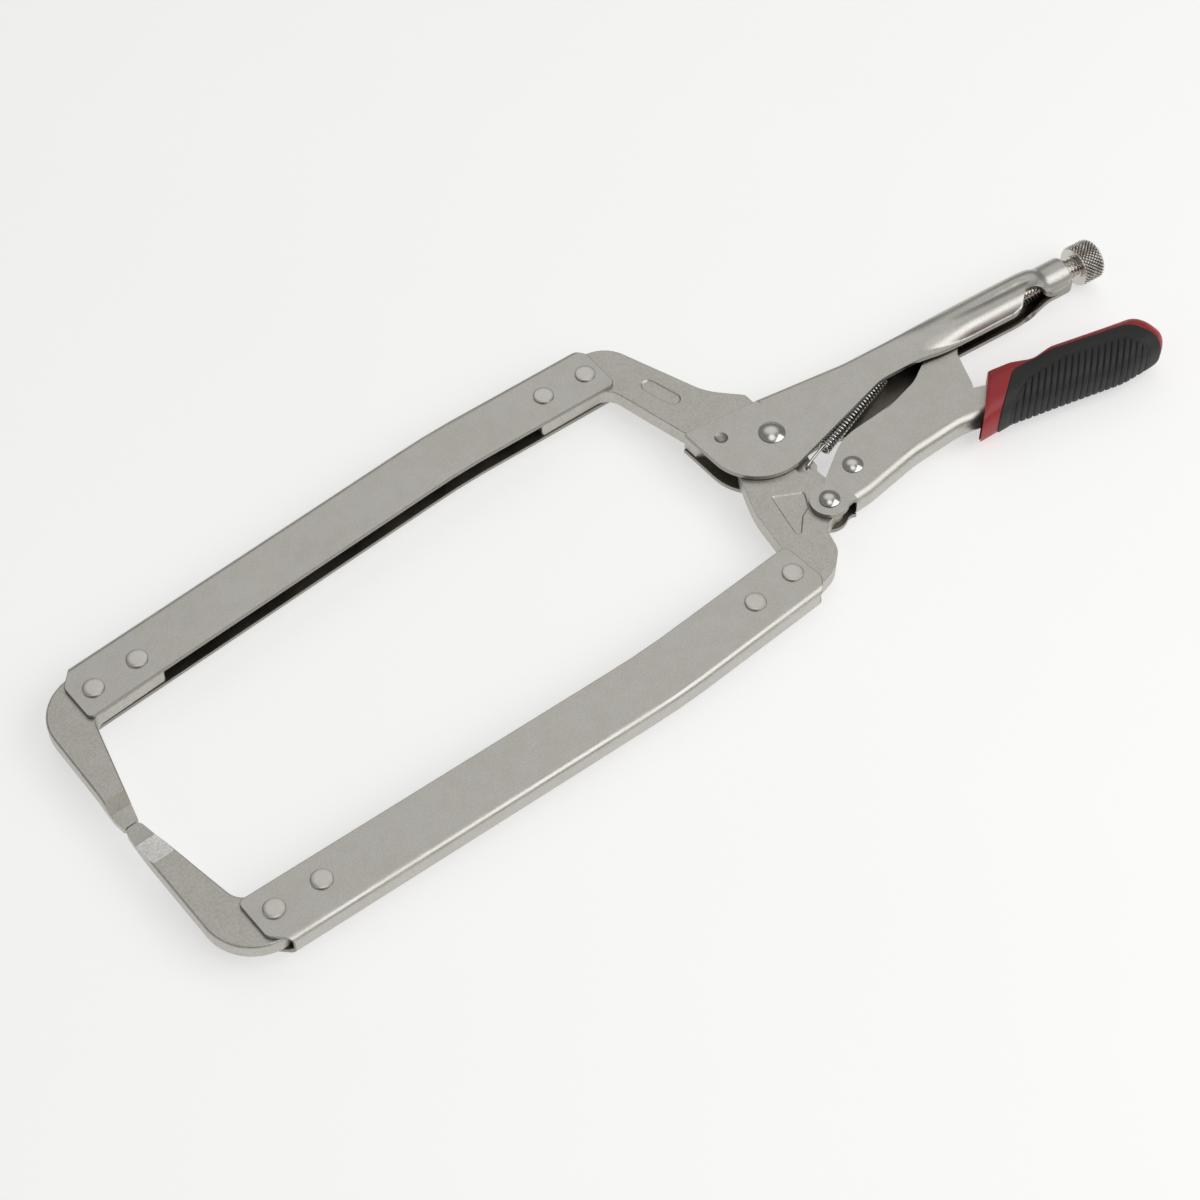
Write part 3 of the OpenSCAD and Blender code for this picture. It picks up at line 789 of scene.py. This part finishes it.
def fixed_jaw():
    """The forging between the upper arm and the fixed handle, with its oval recess and its tongue."""
    body = rounded([
        (LEG_END, arm_y(LEG_END, LEG_TOP), 1), (-36, arm_y(-36, LEG_TOP), 4), (-19, 75.6, 14),
        (-4.2, 33.4, 25), (6.3, 22.3, 1.2), (6.3, 17.0, 0.5), (5, 14, 1), (-20, 18.2, 0.5), (-24.6, 22.6, 3),
        (-32.4, arm_y(-32, ARM_W - 0.8), 7), (LEG_END, arm_y(LEG_END, ARM_W - 0.5), 1.5)])
    tongue = rounded([(-25.4, 21.4, 0.5), (5.4, 16.8, 0.3), (5.4, 12, 0.5), (-12, 4.4, 1), (-20.3, 9, 2),
                      (-25.4, 14.6, 1)])
    a, b = np.array([-19.4, 49.4]), np.array([-16.6, 38.4])
    way = unit(b - a)
    turn = math.atan2(way[1], way[0])
    oval = []
    for centre, start in ((b, turn - math.pi / 2), (a, turn + math.pi / 2)):
        oval += [centre + 2.6 * heading(start + s) for s in np.linspace(0, math.pi, 16)]
    obj = forged("fixed_jaw_forging", body, FORGED, 0.9, cuts=[dished(FORGED - 0.5, FORGED + 0.2, oval)])
    # the tongue is wider than the blade, so it fills the gap between the handle's walls
    block = combine(slab("tongue", tongue, HALF_GAP - 0.02), slab("cutter", ring((0, 0), 15.3, 96), 9))
    bevelled(block, 0.3, 2)
    return finished(join(obj, block), 38)


def moving_jaw():
    """The forging with the main pivot's round eye, the toggle's lug, the spring's ear and the lower leg."""
    mirror = 2 * MIRROR_LINE
    body = rounded([
        (-12, 6.8, 3), (-21.8, -6, 6), (-29.8, -24, 55), (-33.4, mirror - arm_y(-31, ARM_W - 0.8), 3),
        (LEG_END - SIDE_SHIFT, mirror - arm_y(LEG_END, ARM_W - 0.5), 1.5),
        (LEG_END - SIDE_SHIFT, mirror - arm_y(LEG_END, LEG_TOP), 1),
        (-38, mirror - arm_y(-35.5, LEG_TOP), 2), (-24.5, -62.8, 14), (-17.2, -56.4, 9),
        (-13.9, -45.8, 5), (-7, -44, 0), (HANDLE_PIN[0], HANDLE_PIN[1], 0), (2.5, -36, 0),
        (1.9, -24.4, 4), (6, -12.4, 3)])
    extra = [slab("part", ring((0, 0), 14, 96), FORGED), slab("part", ring(HANDLE_PIN, 5.8, 72), FORGED),
             slab("part", ring(SPRING_EYE, 4.0, 48), FORGED)]
    # the ear is thinned from both faces and drilled
    ear_half, beyond = 1.25, 20
    around_ear = ring(SPRING_EYE, 5.2, 64)
    cuts = [prism("cutter", around_ear, ear_half, beyond), prism("cutter", around_ear, -beyond, -ear_half),
            slab("cutter", ring(SPRING_EYE, 1.5, 40), 9)]
    recess = rounded([(-19.7, -22.5, 0.8), (-9.2, -28.4, 0.8), (-12.7, -34.6, 2), (-17, -36.2, 3),
                      (-22.6, -41.7, 0.7), (-24.2, -41.4, 0.7)])
    cuts.append(dished(FORGED - 0.5, FORGED + 0.2, recess))
    return forged("moving_jaw_forging", body, FORGED, 0.9, extra, cuts)


def toggle_link():
    """The plate between the moving handle and the tip of the screw."""
    nose_r = 5.0
    tip = SCREW_TIP - nose_r * SCREW[:2]
    px, py = LINK_PIN[:2]
    body = rounded([
        (px, py, 0), (px - 3, py + 6.6, 0), (44, -17.4, 20), (62, -13.6, 20), (78, -5, 10),
        (tip[0] - 0.4, tip[1] + nose_r, 0), (tip[0], tip[1], 0), (tip[0] + 1.8, tip[1] - nose_r + 0.4, 0),
        (84.6, -14, 6), (78, -30, 12), (70, -37, 6), (40, -38.6, 20), (px + 2, py - 6.9, 0)])
    half = 2.2
    return forged("toggle_link_plate", body, half, 0.45,
                  [slab("part", ring(LINK_PIN, 7.2, 72), half), slab("part", ring(tip, nose_r, 64), half)])


# ---- turned parts
def dome(r, h, under):
    """Profile of a rivet's head: a spherical cap on a low land, above the height of the sheet."""
    land, count = 0.35, 24
    cap = h - land
    ball = (r * r + cap * cap) / (2 * cap)
    out = [(0.0, under + h)]
    for a in np.linspace(0, math.asin(r / ball), count)[1:]:
        out.append((ball * math.sin(a), under + h - ball * (1 - math.cos(a))))
    out += [(r + 0.02, under + land * 0.5), (r - 0.25, under + 0.02)]
    return out


def flat_head(r, h, under):
    """Profile of a rivet's head that is nearly flat, with a rounded rim."""
    return [(0.0, under + h * 0.97), (r * 0.55, under + h), (r - 0.55, under + h * 0.97),
            (r - 0.18, under + h * 0.82), (r, under + h * 0.55), (r, under + h * 0.25),
            (r - 0.2, under + 0.02)]


def rivet(name, place, head, head_r, head_h, shank_r, under):
    """A rivet with a head on both sides; under is the height of the sheet that a head lies on."""
    top = head(head_r, head_h, under)
    profile = top + [(shank_r, under), (shank_r, -under)] + [(r, -z) for r, z in top[::-1]]
    return finished(lathe(name, profile, np.array([place[0], place[1], 0.0]), 96), 30)


def about_screw(distance, radius, angles):
    """A ring about the screw's axis, at a distance from the neck's mouth."""
    way = np.cos(angles)[:, None] * SCREW_SIDE + np.sin(angles)[:, None] * UP
    return (MOUTH + SCREW * distance) + radius[:, None] * way


def thread(name, start, stop, outer, pitch, depth):
    """A threaded rod between two distances along the screw's axis from the neck's mouth."""
    count, per_pitch = 56, 10
    steps = int(round((stop - start) / pitch * per_pitch))
    heights = np.linspace(start, stop, steps + 1)
    a = full_turn(count)
    grid = np.zeros((steps + 1, count, 3))
    for i, h in enumerate(heights):
        phase = (h / pitch - a / (2 * math.pi)) % 1.0
        wave = np.clip(1.15 - np.abs(2 * phase - 1) * 1.5, 0, 1)
        fade = float(smoothstep(h, start, start + 1.5))
        r = outer - depth * (1 - wave) * fade - (1 - fade) * 1.0
        grid[i] = about_screw(h, r, a)
    return closed_tube(name, grid, 38)


def paint_valley_shade(obj, below, low, high):
    """Gives the faces of a knurl that lie close to the axis the second material: painted shade in the knurl's
    valleys.
    """
    mesh = obj.data
    mesh.materials.append(KNURL_METAL)
    mesh.materials.append(SHADED_VALLEY_METAL)
    for face in mesh.polygons:
        away = in_mm(face.center) - MOUTH
        along_axis = float(away @ SCREW)
        reach = np.linalg.norm(away - SCREW * along_axis)
        face.material_index = int(reach < below and low < along_axis < high)
    return obj


def knob(name, start, r, width):
    """A knob with a diamond knurl between two chamfers and flat faces."""
    teeth, count, chamfer, depth = 30, 480, 0.6, 0.85
    a = full_turn(count)
    pitch = 2 * math.pi * r / teeth
    heights = np.concatenate([np.linspace(0, chamfer, 4)[:-1], np.linspace(chamfer, width - chamfer, 75),
                              np.linspace(width - chamfer, width, 4)[1:]])
    rings = []
    for h in heights:
        first = (a * teeth / (2 * math.pi) + h / pitch) % 1.0
        second = (a * teeth / (2 * math.pi) - h / pitch) % 1.0
        peak = np.minimum(1 - np.abs(2 * first - 1), 1 - np.abs(2 * second - 1))
        edge = max(0.0, chamfer - h, h - (width - chamfer))
        radius = np.minimum(r - depth * (1 - np.clip(peak * 1.15, 0, 1)), r - edge)
        rings.append(about_screw(start + h, radius, a))
    # rings on the flat end faces, inside the chamfers
    front = [rings[0] * (1 - s) + (MOUTH + SCREW * start) * s for s in (0.12, 0.5)]
    back = [rings[-1] * (1 - s) + (MOUTH + SCREW * (start + width)) * s for s in (0.12, 0.5)]
    obj = closed_tube(name, np.array(front[::-1] + rings + back), 24)
    return paint_valley_shade(obj, r - 0.7 * depth, start + chamfer, start + width - chamfer)


def spring():
    """The return spring: a close coil, and a hook through the jaw's ear and the handle's tab."""
    span = SPRING_ANCHOR - SPRING_EYE
    length = np.linalg.norm(span)
    axis = span / length
    side = np.array([-axis[1], axis[0], 0.0])
    wire, coil_r = 0.54, 2.3
    first, last, pitch = 12.4, length - 9.0, 1.62
    turns = (last - first) / pitch
    a = np.linspace(0, 2 * math.pi * turns, int(turns * 28))
    squeeze = 0.6 + 0.4 * smoothstep(np.minimum(a, a[-1] - a), 0, 4 * math.pi)
    run = first + (last - first) * np.cumsum(squeeze) / np.sum(squeeze)
    start = math.pi / 2

    def at(s, u, z):
        return SPRING_EYE + axis * s + side * u + UP * z

    coil = [at(s, coil_r * math.cos(start + t), coil_r * math.sin(start + t)) for s, t in zip(run, a)]
    end_angle = start + a[-1]
    hook_z = 1.9
    front = [at(0.15, 0, -2.0), at(0.05, 0, -1.0), at(0, 0, 0.2), at(0.15, 0, 1.1), at(0.7, 0, 1.7),
             at(2.0, 0, hook_z)]
    front += [at(s, 0, hook_z + (coil_r - hook_z) * smoothstep(s, 2, 12))
              for s in np.linspace(3, first - 0.6, 9)]
    tail_z = coil_r * math.sin(end_angle)
    tail_u = coil_r * math.cos(end_angle)
    rear = []
    for s in np.linspace(0.8, length - last - 1.2, 8):
        w = float(smoothstep(s, 0, 6))
        rear.append(at(last + s, tail_u * (1 - w), tail_z * (1 - w) + hook_z * w))
    rear += [at(length - 0.6, 0, 1.7), at(length - 0.1, 0, 1.0), at(length, 0, 0.2), at(length, 0, -1.0),
             at(length, 0, -2.0)]

    def eased(points):
        """The same line with its corners cut twice."""
        p = np.array(points)
        for _ in range(2):
            q = [p[0]]
            for u, v in zip(p, p[1:]):
                q += [u * 0.75 + v * 0.25, u * 0.25 + v * 0.75]
            p = np.array(q + [p[-1]])
        return p

    path = np.vstack([eased(front), np.array(coil), eased(rear)])
    return round_wire("return_spring_wire", path, wire, 10), axis


# ---- grip
GRIP_AXIS = unit(np.array([0.979, -0.2]))
GRIP_SIDE = np.array([-GRIP_AXIS[1], GRIP_AXIS[0]])
COVER_LINE = rounded([(90.5, -37.4, 7), (110, -38.9, 8), (142.4, -48.6, 8), (147.2, -60, 5), (148, -74, 0),
                      (60, -74, 0), (68.5, -52.5, 2)], 4)
RIB_LINE = rounded([(91, -44.2, 7), (110.5, -45.0, 8), (136, -52.8, 7), (140.6, -61.0, 5), (141, -74, 0),
                    (62, -74, 0), (71.5, -53, 2)], 4)


def inside_distance(points, line):
    """Signed distance in the plane from a closed line, positive inside."""
    best = np.full(len(points), 1e9)
    inside = np.zeros(len(points), bool)
    for a, b in zip(line, np.roll(line, -1, axis=0)):
        d = b - a
        t = np.clip(((points - a) @ d) / (d @ d), 0, 1)
        best = np.minimum(best, np.linalg.norm(points - (a + t[:, None] * d), axis=1))
        with np.errstate(divide="ignore", invalid="ignore"):
            cross = (a[1] > points[:, 1]) != (b[1] > points[:, 1])
            where = a[0] + (points[:, 1] - a[1]) * d[0] / (d[1] if d[1] else 1e-12)
        inside ^= cross & (points[:, 0] < where)
    return np.where(inside, best, -best)


def grip_grid(lengthwise, around):
    """The grip's outer skin as rings of points, from its mouth to its rounded end."""
    end = (153.4, -55.5, 0)
    upper = along(chain([(86.4, -28.4, 0), (96, -30.6, 10), (104, -35, 8), (113.5, -34.5, 10),
                         (150, -44.7, 9), end], 3), 600)
    lower = along(chain([(63.8, -49.4, 0), (81, -50.2, 30), (129, -63, 30), (154.2, -64.3, 8), end], 3), 600)
    share = 1 - (1 - np.linspace(0, 1, lengthwise)) ** 1.25
    u, l = along(upper, share), along(lower, share)
    centre, arm_v = (u + l) / 2, (u - l) / 2
    step = np.linalg.norm(np.diff(centre, axis=0), axis=1)
    from_end = np.concatenate([np.cumsum(step[::-1])[::-1], [0]])
    # half the thickness: round at the end, and drawn in a little at the mouth
    half_thick, round_r, mouth_l = 10.2, 10.5, 3.0
    near = np.clip(1 - from_end / round_r, 0, 1)
    thick = half_thick * np.sqrt(np.maximum(1 - near ** 2, 0)) ** 0.9
    front = np.clip(1 - (from_end[0] - from_end) / mouth_l, 0, 1)
    thick = thick - 0.5 * front ** 2
    a = full_turn(around)
    power = 2 / 2.55
    c = np.sign(np.cos(a)) * np.abs(np.cos(a)) ** power
    s = np.sign(np.sin(a)) * np.abs(np.sin(a)) ** power
    grid = np.zeros((lengthwise, around, 3))
    grid[:, :, :2] = centre[:, None, :] + arm_v[:, None, :] * c[None, :, None]
    grid[:, :, 2] = thick[:, None] * s[None, :]
    return grid


def grid_normals(grid):
    """The way out of the grip at each point of its grid."""
    du = np.gradient(grid, axis=0)
    padded = np.concatenate([grid[:, -1:], grid, grid[:, :1]], axis=1)
    dv = (padded[:, 2:] - padded[:, :-2]) / 2
    n = np.cross(du, dv)
    size = np.linalg.norm(n, axis=2, keepdims=True)
    n = n / np.maximum(size, 1e-9)
    centre = grid.mean(axis=1, keepdims=True)
    if ((grid - centre) * n).sum() < 0:
        n = -n
    # close to the end face the grip thins out, so there the way out is along the grip
    thin = 1 - smoothstep(np.abs(grid[:, :, 2]).max(axis=1), 2.0, 6.0)[:, None, None]
    n = n * (1 - thin) + np.array([*GRIP_AXIS, 0.0]) * thin
    return n / np.linalg.norm(n, axis=2, keepdims=True)


def depth_in(grid, line):
    """Signed distance of each point of a grid from a closed line."""
    return inside_distance(grid[:, :, :2].reshape(-1, 2), line).reshape(grid.shape[:2])


def grip():
    """The red core and, just above it inside the cover's line, the ribbed black cover."""
    grid = grip_grid(180, 96)
    sink = 0.55 + 0.25 * np.clip(depth_in(grid, COVER_LINE), 0, 1)
    core = grid - grid_normals(grid) * sink[:, :, None]
    grid = grip_grid(440, 200)
    cover, ribs = depth_in(grid, COVER_LINE), depth_in(grid, RIB_LINE)
    rib_pitch, rib_lean, groove_w = 3.05, 0.72, 0.3
    a = grid[:, :, 0] * GRIP_AXIS[0] + grid[:, :, 1] * GRIP_AXIS[1]
    b = grid[:, :, 0] * GRIP_SIDE[0] + grid[:, :, 1] * GRIP_SIDE[1]
    phase = ((a - rib_lean * b) / rib_pitch) % 1.0
    off = np.minimum(phase, 1 - phase) * rib_pitch
    groove = np.exp(-(off / groove_w) ** 2) * 0.5 * smoothstep(ribs, 0.1, 1.0)
    crown = 0.1 * (1 - (1 - np.clip(off / 1.5, 0, 1)) ** 2) * smoothstep(ribs, 0.1, 1.0)
    border = 0.2 * np.exp(-(ribs / groove_w) ** 2)
    rise = -1.3 + 1.3 * smoothstep(cover, -0.45, 0.35)
    height = rise - groove - border + crown - 0.12
    shell = grid + grid_normals(grid) * height[:, :, None]
    return closed_tube("grip_core_red", core, 50), closed_tube("grip_cover_black", shell, 50)


# ---- the clamp
FIXED, JAW, HANDLE = "fixed_side", "jaw_side", "handle_side"

piece(fixed_handle(), FIXED, "plated_sheet", ["fixed_handle"])
piece(fixed_jaw(), FIXED, "plated_forging", ["fixed_jaw"], FORGED_METAL)
piece(arm("upper_arm_sheet", False), FIXED, "plated_sheet", ["upper_arm"])
piece(nose("upper_nose_forging", False), FIXED, "plated_forging", ["upper_nose"])
piece(moving_jaw(), JAW, "plated_forging", ["moving_jaw"], FORGED_METAL)
piece(arm("lower_arm_sheet", True), JAW, "plated_sheet", ["lower_arm"])
piece(nose("lower_nose_forging", True), JAW, "plated_forging", ["lower_nose"])
piece(moving_handle(), HANDLE, "plated_sheet", ["moving_handle"])
piece(toggle_link(), "link", "plated_forging", ["toggle_link"], SHEET_METAL)

RIVET_X = [NOSE_X + 21, NOSE_X + 40, -55, -35.6]
RIVET_INSET = [14.1, 14.0, 12.6, 13.2]
for i in range(4):
    place = np.array([RIVET_X[i], arm_y(RIVET_X[i], RIVET_INSET[i])])
    for side, body, at in (("upper", FIXED, place), ("lower", JAW, to_lower(place))):
        obj = rivet(f"{side}_rivet_{i + 1}_turned", at, flat_head, 4.0, 0.9, 2.75, ARM_HALF)
        piece(obj, body, "bright_steel", [f"{side}_rivet_{i + 1}"], HEAD_METAL)
for name, place, head_r, head_h, shank_r, body, node in (
        ("main_pivot_turned", (0, 0), 5.2, 1.9, 3.45, FIXED, "main_pivot_rivet"),
        ("handle_rivet_turned", HANDLE_PIN, 4.0, 1.6, 2.45, HANDLE, "handle_rivet"),
        ("link_rivet_turned", LINK_PIN, 4.0, 1.6, 2.45, HANDLE, "link_rivet")):
    obj = rivet(name, place, dome, head_r, head_h, shank_r, HANDLE_HALF)
    piece(obj, body, "bright_steel", [node], BRIGHT_METAL)

KNOB_GAP, KNOB_R, KNOB_W = 6.4, 8.4, 9.55
TIP_ROOM = 4.0
TIP_DEPTH = float((MOUTH[:2] - SCREW_TIP) @ SCREW[:2]) - TIP_ROOM
rod = thread("adjusting_screw_thread", -TIP_DEPTH, KNOB_GAP + 0.2, 4.75, 1.6, 1.15)
piece(rod, "screw", "bright_steel", ["adjusting_screw"], BRIGHT_METAL)
piece(knob("knurled_knob_turned", KNOB_GAP, KNOB_R, KNOB_W), "knob", "bright_steel", ["knurled_knob"])

wire, spring_axis = spring()
piece(wire, FIXED, "spring_steel", ["return_spring"], DARK_WIRE)
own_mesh(wire)

core, cover = grip()
piece(core, HANDLE, "grip_red", ["grip_core"], RED_PLASTIC)
piece(cover, HANDLE, "grip_black", ["grip_cover"], BLACK_RUBBER)


# ---- studio
# Bright patches of the sky: direction, outer and inner angle in degrees, added brightness
SKY_BASE = 0.24
SKY = [((0.38, 0.46, 0.80), 34, 6, 0.62), ((0.0, -0.06, 1.0), 18, 8, 1.1), ((-0.9, 0.1, 0.35), 40, 15, 0.3)]


def aim(obj, place, back):
    """Puts a light or a camera at a place, looking against the direction that it stands in."""
    obj.location = place
    obj.rotation_mode = "QUATERNION"
    obj.rotation_quaternion = back.to_track_quat("Z", "Y")


def floor():
    size, drop = 6.0, 0.0004
    mesh = bpy.data.meshes.new("floor")
    corners = [(-size, -size, -drop), (size, -size, -drop), (size, size, -drop), (-size, size, -drop)]
    mesh.from_pydata(corners, [], [(0, 1, 2, 3)])
    mat, tree, shader = nodes_of("pale_floor")
    tone = ramp(tree, noise(tree, 3.0), [(0.3, (0.60, 0.60, 0.598)), (0.7, (0.62, 0.62, 0.618))])
    tree.links.new(tone, shader.inputs["Base Color"])
    shader.inputs["Emission Color"].default_value = (1, 1, 0.995, 1)
    shader.inputs["Emission Strength"].default_value = 0.5
    shader.inputs["Roughness"].default_value = 0.9
    mesh.materials.append(mat)
    link_object("floor", mesh)


def sky():
    """A plain pale sky with soft bright patches."""
    world = bpy.data.worlds.new("studio")
    bpy.context.scene.world = world
    world.use_nodes = True
    tree = world.node_tree
    back = tree.nodes["Background"]
    back.inputs["Color"].default_value = (1.0, 0.995, 0.985, 1)
    total = None
    for way, outer, inner, strength in SKY:
        place = tree.nodes.new("ShaderNodeTexCoord")
        dot = tree.nodes.new("ShaderNodeVectorMath")
        dot.operation = "DOT_PRODUCT"
        tree.links.new(place.outputs["Generated"], dot.inputs[0])
        dot.inputs[1].default_value = tuple(unit(np.array(way)))
        base = 0.0 if total else SKY_BASE
        edge, full = math.cos(math.radians(outer)), math.cos(math.radians(inner))
        patch = remap(tree, dot.outputs["Value"], edge, full, base, strength + base)
        patch.node.interpolation_type = "SMOOTHERSTEP"
        if total is None:
            total = patch
            continue
        add = tree.nodes.new("ShaderNodeMath")
        tree.links.new(total, add.inputs[0])
        tree.links.new(patch, add.inputs[1])
        total = add.outputs["Value"]
    tree.links.new(total, back.inputs["Strength"])


def key_light():
    light = bpy.data.lights.new("key_softbox", "AREA")
    light.shape = "RECTANGLE"
    light.size, light.size_y, light.energy = 1.8, 1.1, 11.0
    back = Vector((0.36, -0.62, 0.70)).normalized()
    distance = 1.5
    aim(link_object("key_softbox", light), back * distance, back)


def camera():
    """A long lens from the picture's direction, in degrees about the point that it looks at."""
    azimuth, elevation, distance = math.radians(-39.5), math.radians(52.84), 985.0
    target = Vector((np.array([-101.27, -20.24, 5.7]) * MM + ORIGIN).tolist())
    back = Vector((math.sin(azimuth) * math.cos(elevation), -math.cos(azimuth) * math.cos(elevation),
                   math.sin(elevation)))
    cam = bpy.data.cameras.new("camera")
    cam.sensor_width = 36.0
    cam.lens = 81.63
    cam.clip_start, cam.clip_end = 0.01, 50
    obj = link_object("camera", cam)
    aim(obj, target + back * distance * MM, back)
    scene = bpy.context.scene
    scene.camera = obj
    scene.view_settings.view_transform = "Standard"
    scene.view_settings.look = "None"


floor()
sky()
key_light()
camera()
